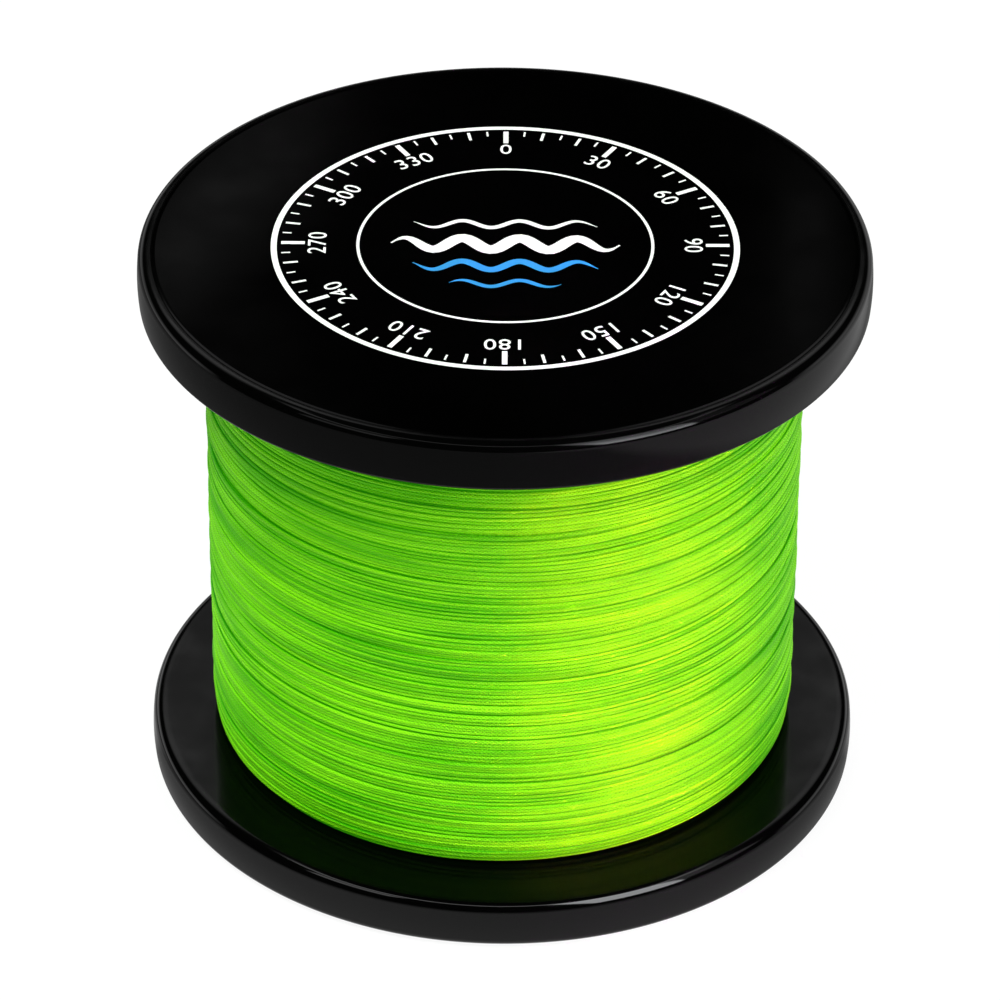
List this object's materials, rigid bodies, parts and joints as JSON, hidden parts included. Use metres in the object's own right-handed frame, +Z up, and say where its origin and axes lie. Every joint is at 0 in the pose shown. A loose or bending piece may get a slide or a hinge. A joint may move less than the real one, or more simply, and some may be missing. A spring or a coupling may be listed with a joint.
{
  "type": "fishing line spool",
  "caption": "Bulk spool of braided fishing line: two black moulded end flanges on a drum with a central spindle bore, filled with bright green braid.",
  "frame": {"origin": "centre of the flat underside that the spool stands on", "axes": "+Z up along the axis of the drum and its spindle bore; -Y is the front, and the taped line end is at the back"},
  "size_m": [0.1, 0.1, 0.082],
  "materials": {
    "black_plastic": "high-gloss black moulded plastic",
    "printed_film": "glossy black film with a plain white and blue dial print",
    "plain_film": "satin black film with a plain white ring",
    "drum_plastic": "plain dark moulded plastic with fine draw marks",
    "green_braid": "tightly woven bright green polyethylene braid with a light waxy sheen",
    "paper_tape": "creped masking tape",
    "clear_tape": "translucent adhesive tape"
  },
  "bodies": {
    "root": {"lower_label": "plain_film", "lower_cover": "black_plastic", "lower_flange": "black_plastic", "upper_label": "printed_film", "upper_cover": "black_plastic", "upper_flange": "black_plastic", "barrel": "drum_plastic", "centre_tube": "drum_plastic", "anchor_tape": "paper_tape", "line_winding": "green_braid", "end_tape": "clear_tape"}
  },
  "joints": []
}
